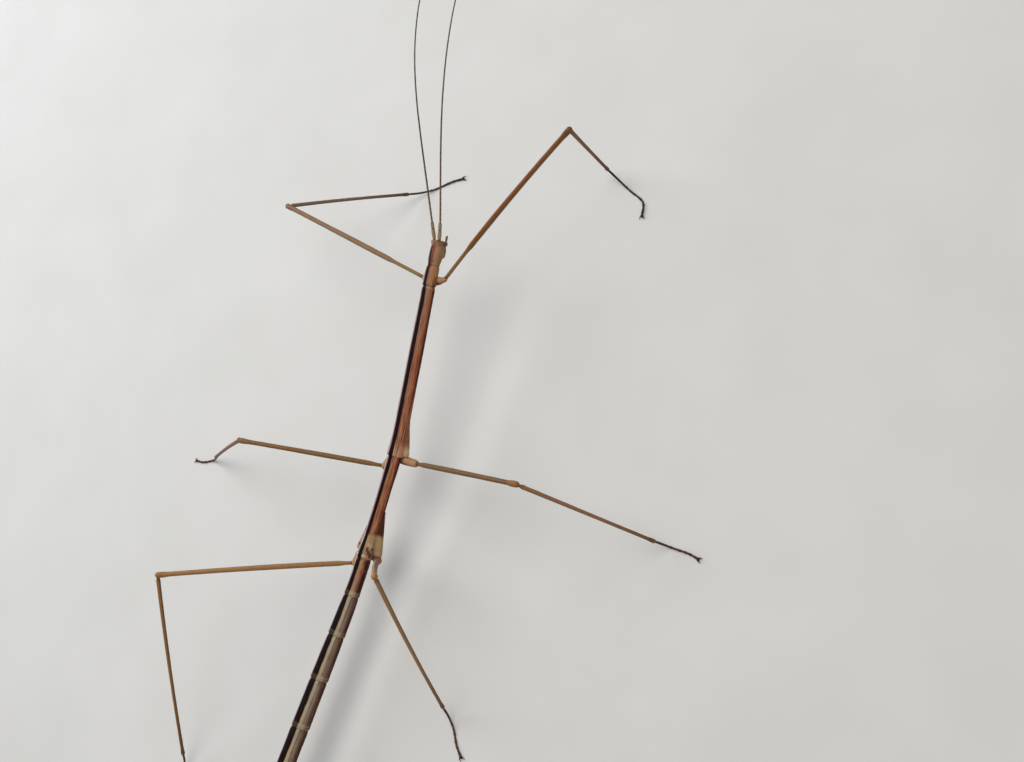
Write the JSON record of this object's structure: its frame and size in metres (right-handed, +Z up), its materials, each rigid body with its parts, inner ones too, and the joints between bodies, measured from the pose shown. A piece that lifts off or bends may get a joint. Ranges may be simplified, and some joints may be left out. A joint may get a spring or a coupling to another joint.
{
  "type": "stick insect",
  "caption": "Slender wingless stick insect standing on its feet with raised feelers, a life-size still model with a black stripe along its back.",
  "frame": {"origin": "on the floor under the middle of the whole insect's bounding box", "axes": "+Z up, head towards +Y, the insect's right side towards +X"},
  "size_m": [0.1052, 0.1578, 0.0385],
  "materials": {
    "thorax": "orange-brown glossy cuticle with a black stripe down the back, bordered pale, and a dark line low on each side",
    "abdomen": "cream and brown glossy cuticle with a black stripe down the back, a pale band beside it and a maroon edge line",
    "head": "reddish-brown to tan cuticle, satin",
    "eye": "dark reddish brown, glossy",
    "leg": "golden to olive-brown cuticle, darker underneath, satin",
    "coxa": "beige to orange-tan cuticle, satin",
    "tarsus": "dark grey-brown, dull",
    "feeler": "pale tan at the root to grey-brown, dull"
  },
  "bodies": {
    "root": {"prothorax": "thorax", "mesothorax": "thorax", "metathorax": "thorax", "abdomen_1": "abdomen", "abdomen_2": "abdomen", "abdomen_3": "abdomen", "abdomen_4": "abdomen", "abdomen_5": "abdomen", "abdomen_6": "abdomen", "abdomen_7": "abdomen", "abdomen_8": "abdomen", "abdomen_9": "abdomen", "abdomen_10": "abdomen", "eye_left": "eye", "eye_right": "eye", "head": "head", "mouthparts": "head", "feeler_left_root": "feeler", "feeler_left_near": "feeler", "feeler_left_far": "feeler", "feeler_right_root": "feeler", "feeler_right_near": "feeler", "feeler_right_far": "feeler", "tail_plate": "abdomen", "cercus_left": "abdomen", "cercus_right": "abdomen", "coxa_front_right": "coxa", "femur_front_right": "leg", "tibia_front_right": "leg", "tarsus_front_right": "tarsus", "coxa_front_left": "coxa", "femur_front_left": "leg", "tibia_front_left": "leg", "tarsus_front_left": "tarsus", "coxa_mid_right": "coxa", "femur_mid_right": "leg", "tibia_mid_right": "leg", "tarsus_mid_right": "tarsus", "coxa_mid_left": "coxa", "femur_mid_left": "leg", "tibia_mid_left": "leg", "tarsus_mid_left": "tarsus", "coxa_hind_right": "coxa", "femur_hind_right": "leg", "tibia_hind_right": "leg", "tarsus_hind_right": "tarsus", "coxa_hind_left": "coxa", "femur_hind_left": "leg", "tibia_hind_left": "leg", "tarsus_hind_left": "tarsus"}
  },
  "joints": []
}
